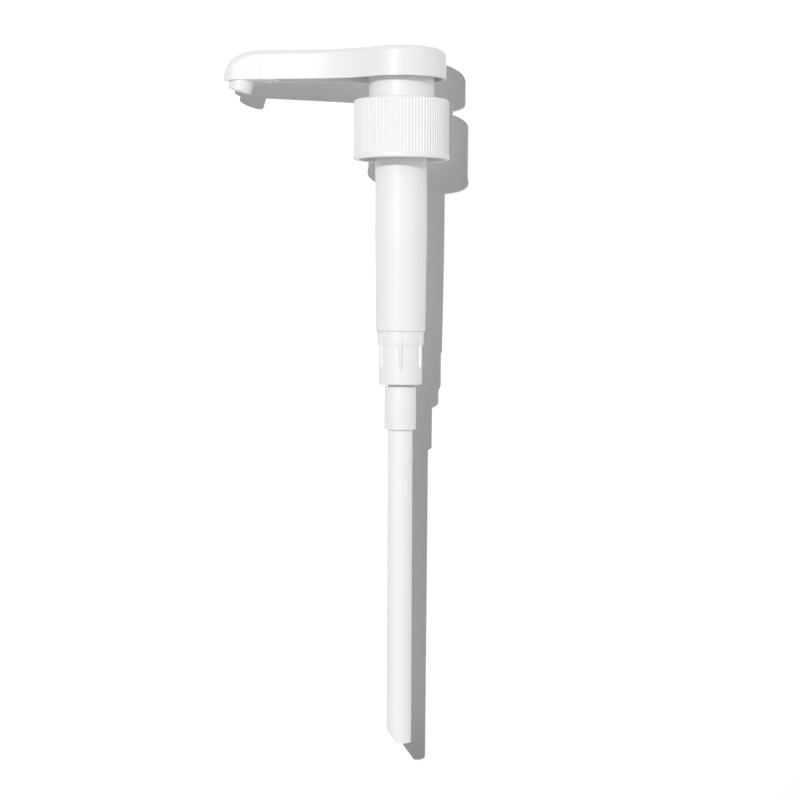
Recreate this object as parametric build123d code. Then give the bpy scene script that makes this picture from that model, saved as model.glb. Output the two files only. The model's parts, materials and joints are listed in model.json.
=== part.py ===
"""Condiment pump dispenser for a jug with a 38 mm screw neck.

Frame, in millimetres: the pump's axis is Z with the head up, the spout points along -X, and z = 0 is the
neck seat, the plane where the gasket presses on the jug's neck. The head is shown pressed right down.
"""

from build123d import *
import math
import os

# ------------------------------------------------------------------ driving sizes: fits
RUNNING = 0.05  # radial play of a shaft in its guide
LOOSE = 0.3  # play between moving faces that never touch
STOP_GAP = 0.1  # axial play left at a stop
SEAT_GAP = 0.05  # a valve ball stands this far off its cone

# ------------------------------------------------------------------ driving sizes: neck and closure
GASKET_THICK = 1.6
GASKET_PLAY = 0.45  # round the body
GASKET_OUTER_R = 17.7
FLANGE_R = 17.6  # body and collar flanges, which pass the closure's thread
BODY_FLANGE = 2.4
COLLAR_FLANGE = 2.2
CLOSURE_FLOAT = 0.1  # the closure turns freely on the collar's flange
CLOSURE_TOP = 2.6
CLOSURE_HEIGHT = 27.0
CLOSURE_R = 21.5  # over the ribs
CLOSURE_BORE_R = 19.1
CLOSURE_SHOULDER = 1.2  # rounding of the top edge
RIB_COUNT = 90
RIB_DEPTH = 0.35
RIB_CREST_SHARE = 0.36  # of one rib's pitch
RIB_FOOT_SHARE = 0.66
RIM_R = 21.8
ENVELOPE_OVER = 1.0  # a rounded blank stands this far over the ribs
RIM_HEIGHT = 2.2
RIM_EDGE = 0.5
THREAD_PITCH = 4.23  # six threads to the inch
THREAD_TURNS = 1.5
THREAD_CREST_R = 17.95
THREAD_CREST_WIDTH = 1.1
THREAD_FOOT_WIDTH = 2.4
THREAD_START = 9.6  # below the neck seat

# ------------------------------------------------------------------ driving sizes: lock collar
COLLAR_R = 14.8
COLLAR_WALL = 1.8
COLLAR_GUIDE = 4.2  # length that guides the stem
SLEEVE_WALL = 1.5
LAND_DEPTH = 1.1
LAND_HEIGHT = 2.2
LAND_SPAN = 110.0  # degrees, one of two
LAND_DROP = 1.5  # below the collar's top
WIPER_HEIGHT = 3.0

# ------------------------------------------------------------------ driving sizes: head
HEAD_BOTTOM = 18.1
HEAD_HEIGHT = 13.5
CROWN = 0.3  # the thumb pad stands this far above the arm
HEAD_WALL = 1.8
HEAD_ROOF = 2.0
PAD_R = 20.15
PAD_BLEND_R = 55.0  # concave sides between arm and pad
ARM_TIP = 81.5  # from the pump's axis to the tip of the nose
NOSE_R = 5.9  # the nose's half width
ARM_TAPER = 3.4  # degrees a side
SEAM = 63.3  # from the axis to the joint between arm and nose cap
SEAM_LINE = 0.05  # the nose cap stands this far off the arm's end
NOSE_PROFILE_LENGTH = 15.4  # the quarter ellipse that the nose has from the side
NOSE_LEAD = 0.1  # the ellipse starts this far in front of the tip, which leaves a short upright land
TOP_EDGE = 3.3  # rounding of the head's upper edge
PAD_START = 27.0  # the crown starts to rise this far from the axis
PAD_REAR = -0.5  # rear edge of the crown against the arm's top
PAD_REAR_SLOPE = 0.12
FLOW_R = 3.0
FLOW_WALL = 1.4
FLOW_DROP = 7.0  # channel centre below the arm's top
FLOW_HEADROOM = 0.5  # the hub's bore goes this far above the channel
ARM_RIB = 1.4
ARM_RIBS = (24.0, 36.0, 48.0)  # distances from the axis
BULKHEAD = 7.0  # solid end of the arm
HUB_WALL = 1.8
HUB_LENGTH = 12.4  # length of stem held in the head
LOCK_RING_WALL = 1.6
LOCK_RING_LENGTH = 8.4  # below the collar's top
LUG_SPAN = 50.0
LUG_HEIGHT = 2.0
STOP_RING = 1.5
COLLAR_HIDDEN = 0.8  # the collar's top stands this far inside the head

# ------------------------------------------------------------------ driving sizes: nose and nozzle
SPIGOT_R = 4.6
SPIGOT_LENGTH = 5.0
NOSE_RING_WIRE = 0.5  # half thickness of the nose's sealing ring
TAB_WIDTH = 5.0
TAB_THICK = 1.2
TAB_LENGTH = 4.8
NUB_START = 1.2  # from the seam
NUB_LENGTH = 2.6
NUB_HEIGHT = 0.9
NOZZLE_R = 5.5
NOZZLE_BORE_R = 3.4
NOZZLE_TILT = 15.5  # degrees, pointing down and outwards
NOZZLE_REACH = 74.3  # from the axis to the middle of the outlet
NOZZLE_DROP = 4.8  # middle of the outlet below the head
NOZZLE_SHOULDER = 6.9  # length at full width, part of it sunk in the nose
NOZZLE_PLUG = 2.1
NOZZLE_PLUG_R = 4.4
NOZZLE_EDGE = 0.35

# ------------------------------------------------------------------ driving sizes: body and plunger
BODY_R = 11.75
BODY_END_R = 11.22
BODY_BORE_R = 10.1
BODY_CLOSED = 49.65  # length of body that piston, closed spring, collar and foot take besides the stroke
BODY_STRAIGHT = 52.0
BODY_EDGE = 0.5
VENT_R = 1.0
STROKE = 46.0
STEM_R = 6.5
STEM_BORE_R = 5.0
STEM_NECK_R = 5.4
STEM_NECK_BORE_R = 4.2
PISTON_HEIGHT = 10.0
PISTON_PLAY = 0.35
SEAL_HEIGHT = 4.4
SEAL_DEPTH = 1.9
SEAL_LIP = 0.7
SPRING_REST = 22.6  # length of the spring with the head down
SPRING_WIRE = 1.6
SPRING_R = 8.4  # to the middle of the wire
SPRING_TURNS = 11
OUTLET_BALL_R = 3.97  # a 5/16 inch ball
OUTLET_SEAT_R = 2.4
OUTLET_LIFT = 2.5
OUTLET_NUB_R = 3.0  # three nubs in the stem stop the ball
OUTLET_NUB_SPAN = 40.0
OUTLET_FLANGE_R = 7.2
OUTLET_FLANGE = 1.5

# ------------------------------------------------------------------ driving sizes: foot valve and dip tube
HOUSING_SPIGOT = 12.0
HOUSING_BAND_R = 10.6
HOUSING_BAND = 4.9
HOUSING_BAND_RUNOUT = 1.6
HOUSING_R = 9.85
HOUSING_LENGTH = 24.05  # below the body tube
HOUSING_EDGE = 0.7
HOUSING_RIBS = 6
HOUSING_RIB_R = 11.1
HOUSING_RIB_WIDTH = 1.15
HOUSING_RIB_LENGTH = 17.6
HOUSING_RIB_RUNOUT = 1.4
HOUSING_RIB_TURN = 7.0  # degrees from the pump's front
HOUSING_RING_WIRE = 0.9  # half thickness of the sealing ring
CHAMBER_R = 7.4
INLET_BALL_R = 5.556  # a 7/16 inch ball
INLET_LIFT = 3.0
INLET_FLOOR = 6.0  # thickness under the ball's cone
CAGE_HEIGHT = 5.0
CAGE_WALL = 1.2
CAGE_BAR = 1.6
NIPPLE_BORE_R = 3.4  # and the lower edge of the ball's cone
NIPPLE_LENGTH = 10.0
FERRULE_R = 7.2
FERRULE_GAP = 0.8  # the nipple shows between housing and ferrule
FERRULE_LENGTH = 19.6
FERRULE_EDGE = 0.5
TUBE_R = 5.65
TUBE_WALL = 1.1
TUBE_END = 282.7  # tip of the dip tube below the neck seat
TUBE_CUT_HEIGHT = 6.5
TUBE_CUT_INSET = 0.4  # the oblique cut stops this far short of the axis


def ball_centre(cone_radius, cone_height, ball_r):
    """Height of a ball that sits on a 45 degree cone, whose lower edge has this radius and height."""
    apex = cone_height - cone_radius
    return apex + (ball_r + SEAT_GAP) * math.sqrt(2)


# ------------------------------------------------------------------ derived places
body_flange_top = GASKET_THICK + BODY_FLANGE
collar_flange_top = body_flange_top + COLLAR_FLANGE
closure_top = collar_flange_top + CLOSURE_FLOAT + CLOSURE_TOP
closure_low = closure_top - CLOSURE_HEIGHT
collar_top = HEAD_BOTTOM + COLLAR_HIDDEN
collar_bore_r = COLLAR_R - COLLAR_WALL
guide_low = collar_flange_top - COLLAR_GUIDE
sleeve_bore_r = BODY_BORE_R - SLEEVE_WALL
land_r = collar_bore_r - LAND_DEPTH
land_low = collar_top - LAND_DROP - LAND_HEIGHT
head_top = HEAD_BOTTOM + HEAD_HEIGHT
flow_z = head_top - FLOW_DROP
lock_ring_r = land_r - LOOSE
lock_ring_low = collar_top - LOCK_RING_LENGTH
lug_top = land_low - LOOSE
stem_top = flow_z - FLOW_R - 1.0
body_end = -BODY_CLOSED - STROKE
housing_top = body_end + HOUSING_SPIGOT
housing_low = body_end - HOUSING_LENGTH
piston_low = housing_top + SPRING_REST
piston_top = piston_low + PISTON_HEIGHT
sleeve_low = piston_top + STROKE + STOP_GAP
shoulder_z = piston_top + STOP_GAP / 2
neck_low = piston_low - STOP_GAP / 2
outlet_cone_top = shoulder_z + STEM_R - STEM_NECK_R
outlet_cone_low = outlet_cone_top + OUTLET_SEAT_R - STEM_NECK_BORE_R
outlet_ball_z = ball_centre(OUTLET_SEAT_R, outlet_cone_low, OUTLET_BALL_R)
inlet_cone_low = housing_low + INLET_FLOOR
inlet_ball_z = ball_centre(NIPPLE_BORE_R, inlet_cone_low, INLET_BALL_R)
cage_low = inlet_ball_z + INLET_BALL_R + INLET_LIFT + STOP_GAP
vent_z = piston_low + PISTON_HEIGHT / 2 + STROKE
ferrule_top = housing_low - FERRULE_GAP
ferrule_low = ferrule_top - FERRULE_LENGTH
nipple_low = housing_low - NIPPLE_LENGTH


# ------------------------------------------------------------------ helpers
def disc(radius, low, high):
    """Solid cylinder about Z between two heights."""
    return Pos(0, 0, low) * Cylinder(radius, high - low, align=(Align.CENTER, Align.CENTER, Align.MIN))


def tube(outer, inner, low, high):
    """Plain tube about Z between two heights."""
    return disc(outer, low, high) - disc(inner, low - 1, high + 1)


def turned(*outline):
    """Solid of revolution about Z from a closed outline of (radius, height) points."""
    points = [(r, 0, z) for r, z in outline]
    return revolve(make_face(Polyline(*points, close=True)), Axis.Z, 360)


def sealing_ring(radius, half_thickness, height):
    """Ring of round section: radius is to the middle of the section."""
    return Pos(0, 0, height) * Torus(radius, half_thickness)


def sector(inner, outer, low, high, middle, span):
    """Part of a tube: span degrees wide, centred on the middle angle."""
    reach = 2 * outer
    half = math.radians(span / 2)
    corner = (reach * math.cos(half), reach * math.sin(half))
    wedge = make_face(Polyline((0, 0), corner, (reach, 0), (corner[0], -corner[1]), close=True))
    prism = Pos(0, 0, low) * extrude(wedge, high - low)
    return tube(outer, inner, low, high) & (Rot(0, 0, middle) * prism)


def along_x(radius, start, end, height):
    """Solid cylinder lying along X at a height, between two x places."""
    lying = Rot(0, 90, 0) * Cylinder(radius, end - start, align=(Align.CENTER, Align.CENTER, Align.MIN))
    return Pos(start, 0, height) * lying


def block(x_low, x_high, y_half, z_low, z_high):
    """Box that is symmetrical about the plane y = 0."""
    size = (x_high - x_low, 2 * y_half, z_high - z_low)
    middle = ((x_low + x_high) / 2, 0, (z_low + z_high) / 2)
    return Pos(*middle) * Box(*size)


# ------------------------------------------------------------------ closure, gasket, collar
def ribbed_outline():
    """The closure's grip in plan: straight ribs of trapezoid section all round."""
    pitch = 2 * math.pi / RIB_COUNT
    root = CLOSURE_R - RIB_DEPTH
    corners = []
    for rib in range(RIB_COUNT):
        for radius, offset in (
            (root, -RIB_FOOT_SHARE / 2),
            (CLOSURE_R, -RIB_CREST_SHARE / 2),
            (CLOSURE_R, RIB_CREST_SHARE / 2),
            (root, RIB_FOOT_SHARE / 2),
        ):
            angle = (rib + offset) * pitch
            corners.append((radius * math.cos(angle), radius * math.sin(angle)))
    return make_face(Polyline(*corners, close=True))


def closure_thread():
    """Helical ridge that takes the jug's neck thread, sunk a little into the closure's wall."""
    path = Helix(THREAD_PITCH, THREAD_TURNS * THREAD_PITCH, CLOSURE_BORE_R)
    section_plane = Plane(origin=path @ 0, x_dir=(1, 0, 0), z_dir=path % 0)
    foot = THREAD_FOOT_WIDTH / 2
    crest = THREAD_CREST_WIDTH / 2
    depth = CLOSURE_BORE_R - THREAD_CREST_R
    corners = ((LOOSE, -foot), (-depth, -crest), (-depth, crest), (LOOSE, foot))
    section = make_face(Polyline(*corners, close=True))
    ridge = sweep(section_plane * section, path, is_frenet=True)
    return Pos(0, 0, -THREAD_START) * ridge


def make_closure():
    """Screw cap with a ribbed grip, a plain rim and a hole for the lock collar."""
    grip = Pos(0, 0, closure_low) * extrude(ribbed_outline(), CLOSURE_HEIGHT)
    blank = disc(CLOSURE_R + ENVELOPE_OVER, closure_low, closure_top)
    grip = grip & fillet(blank.edges().group_by(Axis.Z)[-1], ENVELOPE_OVER + CLOSURE_SHOULDER)
    rim = disc(RIM_R, closure_low, closure_low + RIM_HEIGHT)
    rim = chamfer(rim.edges().filter_by(GeomType.CIRCLE), RIM_EDGE)
    cavity = disc(CLOSURE_BORE_R, closure_low - 1, closure_top - CLOSURE_TOP)
    mouth = disc(COLLAR_R + LOOSE, closure_low, closure_top + 1)
    return grip + rim - cavity - mouth + closure_thread()


def make_neck_gasket():
    """Flat ring between the body's flange and the jug's neck."""
    return tube(GASKET_OUTER_R, BODY_R + GASKET_PLAY, 0, GASKET_THICK)


def make_lock_collar():
    """Tower that the head locks on, with a flange, a stem guide and a sleeve pressed in the body."""
    tower = tube(COLLAR_R, collar_bore_r, collar_flange_top, collar_top)
    flange = disc(FLANGE_R, body_flange_top, collar_flange_top)
    sleeve = disc(BODY_BORE_R, sleeve_low, body_flange_top)
    lands = Part()
    for middle in (0, 180):
        lands += sector(land_r, collar_bore_r + LOOSE, land_low, land_low + LAND_HEIGHT, middle, LAND_SPAN)
    seal_room = disc(sleeve_bore_r, sleeve_low - 1, guide_low)
    stem_way = disc(STEM_R + RUNNING, sleeve_low - 1, collar_top)
    return tower + flange + sleeve + lands - seal_room - stem_way


def make_stem_wiper():
    """Soft ring under the stem guide that wipes the stem."""
    low = guide_low - WIPER_HEIGHT
    lip = STEM_R + RUNNING
    groove = lip + SEAL_LIP
    middle = (low + guide_low) / 2
    return turned(
        (sleeve_bore_r, low),
        (sleeve_bore_r, guide_low),
        (lip, guide_low),
        (groove, middle),
        (lip, low),
    )


# ------------------------------------------------------------------ head
def arm_outline(inset=0.0):
    """Plan of the head: a round thumb pad and a tapered arm with a round nose, drawn inset from its edge."""
    slope = math.tan(math.radians(ARM_TAPER))
    nose_x = NOSE_R - ARM_TIP
    half_at_axis = NOSE_R - slope * nose_x
    nose_corner = (nose_x, NOSE_R - inset)
    axis_corner = (0, half_at_axis - inset)
    mirrored = [(x, -y) for x, y in (axis_corner, nose_corner)]
    sides = make_face(Polyline(nose_corner, axis_corner, *mirrored, close=True))
    plan = sides + Circle(PAD_R - inset)
    waists = [v for v in plan.vertices() if nose_x + 1 < v.X < 0]
    plan = fillet(waists, PAD_BLEND_R + inset)
    return plan + Pos(nose_x, 0) * Circle(NOSE_R - inset)


def head_form():
    """Arm and nose as one solid: the plan, cut to the side profile, with its upper edge still sharp."""
    top = head_top + CROWN
    plan = Pos(0, 0, HEAD_BOTTOM) * extrude(arm_outline(), top - HEAD_BOTTOM + 1)
    pad_start = (-PAD_START, head_top)
    nose_x = NOSE_PROFILE_LENGTH - ARM_TIP
    reach = NOSE_PROFILE_LENGTH + NOSE_LEAD
    nose = EllipticalCenterArc((nose_x, HEAD_BOTTOM), reach, HEAD_HEIGHT, 180, arc_size=-90)
    roof = Line(nose @ 1, pad_start)
    rear = (PAD_R + 1, head_top + PAD_REAR)
    crown = Spline(pad_start, (0, top), rear, tangents=((1, 0), (1, -PAD_REAR_SLOPE)))
    under = Polyline(crown @ 1, (PAD_R + 1, HEAD_BOTTOM), nose @ 0)
    profile = make_face(Plane.XZ * Curve([nose, roof, crown, under]))
    return plan & extrude(profile, PAD_R + 1, both=True)


def round_top(solid, low):
    """Rounds the upper edge all round: the edges that run along X above a height, away from y = 0."""
    edges = []
    for edge in solid.edges():
        box = edge.bounding_box()
        across = max(abs(box.min.Y), abs(box.max.Y))
        if box.max.Z > low and box.size.X > STOP_GAP and across > NOSE_R / 2:
            edges.append(edge)
    return fillet(edges, TOP_EDGE)


def arm_piece():
    """The form from the seam to the rear, rounded."""
    arm = head_form() & block(-SEAM, 2 * PAD_R, 2 * PAD_R, 0, 2 * head_top)
    return round_top(arm, head_top - TOP_EDGE / 2)


def nose_piece():
    """The form in front of the seam, rounded."""
    nose = head_form() & block(-2 * SEAM, -SEAM - SEAM_LINE, 2 * PAD_R, 0, 2 * head_top)
    return round_top(nose, HEAD_BOTTOM + TOP_EDGE)


def head_core():
    """What hangs inside the shell: hub, lock ring with two lugs, stop ring, flow channel and cross ribs."""
    roof = head_top - HEAD_ROOF / 2
    hub = disc(STEM_R + HUB_WALL, stem_top - HUB_LENGTH, roof)
    lock_ring = tube(lock_ring_r, lock_ring_r - LOCK_RING_WALL, lock_ring_low, roof)
    stop_ring = tube(COLLAR_R, lock_ring_r - LOCK_RING_WALL, collar_top, collar_top + STOP_RING)
    channel_r = FLOW_R + FLOW_WALL
    channel = along_x(channel_r, BULKHEAD / 2 - SEAM, 0, flow_z)
    web = block(BULKHEAD / 2 - SEAM, 0, ARM_RIB / 2, flow_z, roof)
    core = hub + lock_ring + stop_ring + channel + web
    lug_r = collar_bore_r - LOOSE
    for middle in (-90, 90):
        core += sector(lock_ring_r - LOOSE, lug_r, lug_top - LUG_HEIGHT, lug_top, middle, LUG_SPAN)
    inside = extrude(arm_outline(HEAD_WALL / 2), roof)
    for distance in ARM_RIBS:
        rib = block(-distance - ARM_RIB / 2, ARM_RIB / 2 - distance, PAD_R, flow_z - channel_r, roof)
        core += rib & inside
    return core


def make_head():
    """Thumb pad and arm: a shell, open below, with the stem's hub, the lock ring and the flow channel."""
    hollow = Pos(0, 0, HEAD_BOTTOM - 1) * extrude(arm_outline(HEAD_WALL), HEAD_HEIGHT - HEAD_ROOF + 1)
    hollow = hollow & block(BULKHEAD - SEAM, 2 * PAD_R, 2 * PAD_R, 0, head_top)
    head = arm_piece() - hollow + head_core()
    head -= disc(STEM_R, 0, stem_top)
    head -= disc(STEM_BORE_R, 0, flow_z + FLOW_R + FLOW_HEADROOM)
    head -= along_x(FLOW_R, -SEAM - 1, 0, flow_z)
    head -= along_x(SPIGOT_R, -SEAM - 1, SPIGOT_LENGTH - SEAM, flow_z)
    tab_room = block(-SEAM - 1, TAB_LENGTH - SEAM, TAB_WIDTH / 2, HEAD_BOTTOM - 1, HEAD_BOTTOM + TAB_THICK)
    return head - tab_room


def nozzle_frame():
    """Place of the outlet's middle, turned so that +Z runs up the nozzle's bore."""
    return Pos(-NOZZLE_REACH, 0, HEAD_BOTTOM - NOZZLE_DROP) * Rot(0, NOZZLE_TILT, 0)


def make_nose_cap():
    """Rounded end of the spout: it plugs into the arm, snaps under it and turns the flow down."""
    cap = nose_piece()
    cap += along_x(SPIGOT_R, -SEAM - 1, SPIGOT_LENGTH - SEAM, flow_z)
    cap += block(-SEAM - 1, TAB_LENGTH - SEAM, TAB_WIDTH / 2, HEAD_BOTTOM, HEAD_BOTTOM + TAB_THICK)
    nub = block(NUB_START, NUB_START + NUB_LENGTH, TAB_WIDTH / 2, HEAD_BOTTOM - NUB_HEIGHT, HEAD_BOTTOM)
    cap += Pos(-SEAM, 0, 0) * nub
    groove = along_x(SPIGOT_R + 1, -NOSE_RING_WIRE, NOSE_RING_WIRE, flow_z)
    groove -= along_x(SPIGOT_R - 2 * NOSE_RING_WIRE, -SEAM, SEAM, flow_z)
    cap -= Pos(SPIGOT_LENGTH / 2 - SEAM, 0, 0) * groove
    rise = (flow_z - HEAD_BOTTOM + NOZZLE_DROP) / math.cos(math.radians(NOZZLE_TILT))
    elbow_x = rise * math.sin(math.radians(NOZZLE_TILT)) - NOZZLE_REACH
    cap -= along_x(FLOW_R, elbow_x, SPIGOT_LENGTH - SEAM + 1, flow_z)
    cap -= Pos(elbow_x, 0, flow_z) * Sphere(FLOW_R)
    cap -= nozzle_frame() * disc(FLOW_R, 0, rise)
    cap -= nozzle_frame() * disc(NOZZLE_PLUG_R, 0, NOZZLE_SHOULDER + NOZZLE_PLUG)
    return cap - nozzle_frame() * disc(NOZZLE_R, 0, NOZZLE_SHOULDER)


def make_nose_ring():
    """Sealing ring round the nose cap's spigot."""
    ring = Torus(SPIGOT_R - NOSE_RING_WIRE, NOSE_RING_WIRE)
    return Pos(SPIGOT_LENGTH / 2 - SEAM, 0, flow_z) * Rot(0, 90, 0) * ring


def make_nozzle():
    """Short outlet tube, pushed into the nose cap from below."""
    body = disc(NOZZLE_R, 0, NOZZLE_SHOULDER) + disc(NOZZLE_PLUG_R, 0, NOZZLE_SHOULDER + NOZZLE_PLUG)
    body -= disc(NOZZLE_BORE_R, -1, NOZZLE_SHOULDER + NOZZLE_PLUG + 1)
    rims = body.edges().filter_by(GeomType.CIRCLE).group_by(Axis.Z)[0]
    return nozzle_frame() * chamfer(rims, NOZZLE_EDGE)


# ------------------------------------------------------------------ stem and piston
def make_stem():
    """Hollow rod from the head to the piston, with a narrow neck that the piston sits on."""
    stem = disc(STEM_R, shoulder_z, stem_top) + disc(STEM_NECK_R, neck_low, stem_top)
    stem -= disc(STEM_NECK_BORE_R, neck_low - 1, stem_top + 1)
    stem -= disc(STEM_BORE_R, outlet_cone_top, stem_top + 1)
    rise = math.sqrt(OUTLET_BALL_R**2 - OUTLET_NUB_R**2)
    low = outlet_ball_z + OUTLET_LIFT + rise + STOP_GAP
    high = low + STEM_R - STEM_BORE_R
    for middle in (0, 120, 240):
        stem += sector(OUTLET_NUB_R, STEM_BORE_R + LOOSE, low, high, middle, OUTLET_NUB_SPAN)
    return stem


def make_outlet_seat():
    """Insert pressed up into the stem's neck: ball seat above, flange that holds the piston below."""
    return turned(
        (OUTLET_SEAT_R, neck_low - OUTLET_FLANGE),
        (OUTLET_FLANGE_R, neck_low - OUTLET_FLANGE),
        (OUTLET_FLANGE_R, neck_low),
        (STEM_NECK_BORE_R, neck_low),
        (STEM_NECK_BORE_R, outlet_cone_top),
        (OUTLET_SEAT_R, outlet_cone_low),
    )


def make_outlet_ball():
    """Steel ball that lets sauce up into the stem."""
    return Pos(0, 0, outlet_ball_z) * Sphere(OUTLET_BALL_R)


def make_piston():
    """Piston hub with a groove for its seal."""
    outer = BODY_BORE_R - PISTON_PLAY
    hub = tube(outer, STEM_NECK_R + RUNNING, piston_low, piston_top)
    middle = (piston_low + piston_top) / 2
    groove = tube(outer + 1, outer - SEAL_DEPTH, middle - SEAL_HEIGHT / 2, middle + SEAL_HEIGHT / 2)
    return hub - groove


def make_piston_seal():
    """Soft ring with two lips that wipe the body's bore."""
    inner = BODY_BORE_R - PISTON_PLAY - SEAL_DEPTH
    lip = BODY_BORE_R - RUNNING
    middle = (piston_low + piston_top) / 2
    low = middle - SEAL_HEIGHT / 2
    high = middle + SEAL_HEIGHT / 2
    return turned((inner, low), (inner, high), (lip, high), (lip - SEAL_LIP, middle), (lip, low))


def make_return_spring():
    """Steel coil spring between the valve housing and the piston."""
    half = SPRING_WIRE / 2
    height = SPRING_REST - SPRING_WIRE
    path = Helix(height / SPRING_TURNS, height, SPRING_R)
    section = Plane(origin=path @ 0, z_dir=path % 0) * Circle(half)
    return Pos(0, 0, housing_top + half) * sweep(section, path, is_frenet=True)


# ------------------------------------------------------------------ body, foot valve and dip tube
def make_body_tube():
    """Pump cylinder with a flange that hangs it in the jug's neck and a vent hole."""
    body = turned(
        (BODY_BORE_R, body_flange_top),
        (FLANGE_R, body_flange_top),
        (FLANGE_R, GASKET_THICK),
        (BODY_R, GASKET_THICK),
        (BODY_R, -BODY_STRAIGHT),
        (BODY_END_R, body_end + BODY_EDGE),
        (BODY_END_R - BODY_EDGE, body_end),
        (BODY_BORE_R, body_end),
    )
    return body - along_x(VENT_R, 0, 2 * BODY_R, vent_z)


def housing_rib(turn):
    """One strengthening rib down the side of the valve housing, with a sloped lower end."""
    low = body_end - HOUSING_RIB_LENGTH
    inner = HOUSING_R - HOUSING_EDGE
    side = Polyline(
        (inner, body_end),
        (HOUSING_RIB_R, body_end),
        (HOUSING_RIB_R, low + HOUSING_RIB_RUNOUT),
        (HOUSING_R, low),
        (inner, low),
        close=True,
    )
    rib = extrude(make_face(Plane.XZ * side), HOUSING_RIB_WIDTH / 2, both=True)
    return Rot(0, 0, turn) * rib


def make_valve_housing():
    """Foot of the pump: pressed into the body, with the inlet ball's chamber and a nipple for the ferrule."""
    band_low = body_end - HOUSING_BAND
    housing = turned(
        (NIPPLE_BORE_R, nipple_low),
        (TUBE_R, nipple_low),
        (TUBE_R, housing_low),
        (HOUSING_R - HOUSING_EDGE, housing_low),
        (HOUSING_R, housing_low + HOUSING_EDGE),
        (HOUSING_R, band_low - HOUSING_BAND_RUNOUT),
        (HOUSING_BAND_R, band_low),
        (HOUSING_BAND_R, body_end),
        (BODY_BORE_R, body_end),
        (BODY_BORE_R, housing_top),
        (CHAMBER_R, housing_top),
        (CHAMBER_R, inlet_cone_low + CHAMBER_R - NIPPLE_BORE_R),
        (NIPPLE_BORE_R, inlet_cone_low),
    )
    for rib in range(HOUSING_RIBS):
        housing += housing_rib(HOUSING_RIB_TURN - 90 + rib * 360 / HOUSING_RIBS)
    middle = body_end + HOUSING_SPIGOT / 2
    groove_r = BODY_BORE_R - 2 * HOUSING_RING_WIRE
    return housing - tube(BODY_R, groove_r, middle - HOUSING_RING_WIRE, middle + HOUSING_RING_WIRE)


def make_housing_ring():
    """Sealing ring between the valve housing and the body's bore."""
    return sealing_ring(BODY_BORE_R - HOUSING_RING_WIRE, HOUSING_RING_WIRE, body_end + HOUSING_SPIGOT / 2)


def make_ball_cage():
    """Ring with two crossed bars that stops the inlet ball's rise."""
    cage = tube(CHAMBER_R, CHAMBER_R - CAGE_WALL, cage_low, cage_low + CAGE_HEIGHT)
    reach = CHAMBER_R - CAGE_WALL / 2
    bar = block(-reach, reach, CAGE_BAR / 2, cage_low, cage_low + CAGE_BAR)
    return cage + bar + Rot(0, 0, 90) * bar


def make_inlet_ball():
    """Steel ball that closes the foot of the pump."""
    return Pos(0, 0, inlet_ball_z) * Sphere(INLET_BALL_R)


def make_tube_ferrule():
    """Sleeve that joins the dip tube to the valve housing's nipple."""
    sleeve = disc(FERRULE_R, ferrule_low, ferrule_top)
    sleeve = chamfer(sleeve.edges().filter_by(GeomType.CIRCLE), FERRULE_EDGE)
    return sleeve - disc(TUBE_R, ferrule_low - 1, ferrule_top + 1)


def make_dip_tube():
    """Suction tube, cut off obliquely on the spout's side so that it can't seal itself on the jug's floor."""
    suction = tube(TUBE_R, TUBE_R - TUBE_WALL, -TUBE_END, nipple_low - STOP_GAP)
    cut_top = TUBE_CUT_HEIGHT - TUBE_END
    run = TUBE_R - TUBE_CUT_INSET
    corners = (
        (-TUBE_R - run, cut_top + TUBE_CUT_HEIGHT),
        (-TUBE_CUT_INSET + run, -TUBE_END - TUBE_CUT_HEIGHT),
        (-TUBE_R - run, -TUBE_END - TUBE_CUT_HEIGHT),
    )
    wedge = make_face(Plane.XZ * Polyline(*corners, close=True))
    return suction - extrude(wedge, 2 * TUBE_R, both=True)


# ------------------------------------------------------------------ write every piece
PARTS = {
    "head": make_head,
    "nose_cap": make_nose_cap,
    "nose_ring": make_nose_ring,
    "nozzle": make_nozzle,
    "stem": make_stem,
    "outlet_seat": make_outlet_seat,
    "outlet_ball": make_outlet_ball,
    "piston": make_piston,
    "piston_seal": make_piston_seal,
    "closure": make_closure,
    "lock_collar": make_lock_collar,
    "stem_wiper": make_stem_wiper,
    "neck_gasket": make_neck_gasket,
    "body_tube": make_body_tube,
    "return_spring": make_return_spring,
    "valve_housing": make_valve_housing,
    "housing_ring": make_housing_ring,
    "ball_cage": make_ball_cage,
    "inlet_ball": make_inlet_ball,
    "tube_ferrule": make_tube_ferrule,
    "dip_tube": make_dip_tube,
}

os.makedirs("parts", exist_ok=True)
for name, make in PARTS.items():
    export_step(make(), f"parts/{name}.step")
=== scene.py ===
"""Looks of a condiment pump dispenser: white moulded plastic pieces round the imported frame.

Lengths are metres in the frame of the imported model: +Z is the pump's axis with the head up and the spout
points along -X. In the studio the pump leans on a white board, which its key light throws a shadow on.
"""

import json
import logging
import math
from dataclasses import dataclass, field
from enum import Enum

import bmesh
import bpy
import numpy as np
from mathutils import Matrix, Vector

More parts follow.
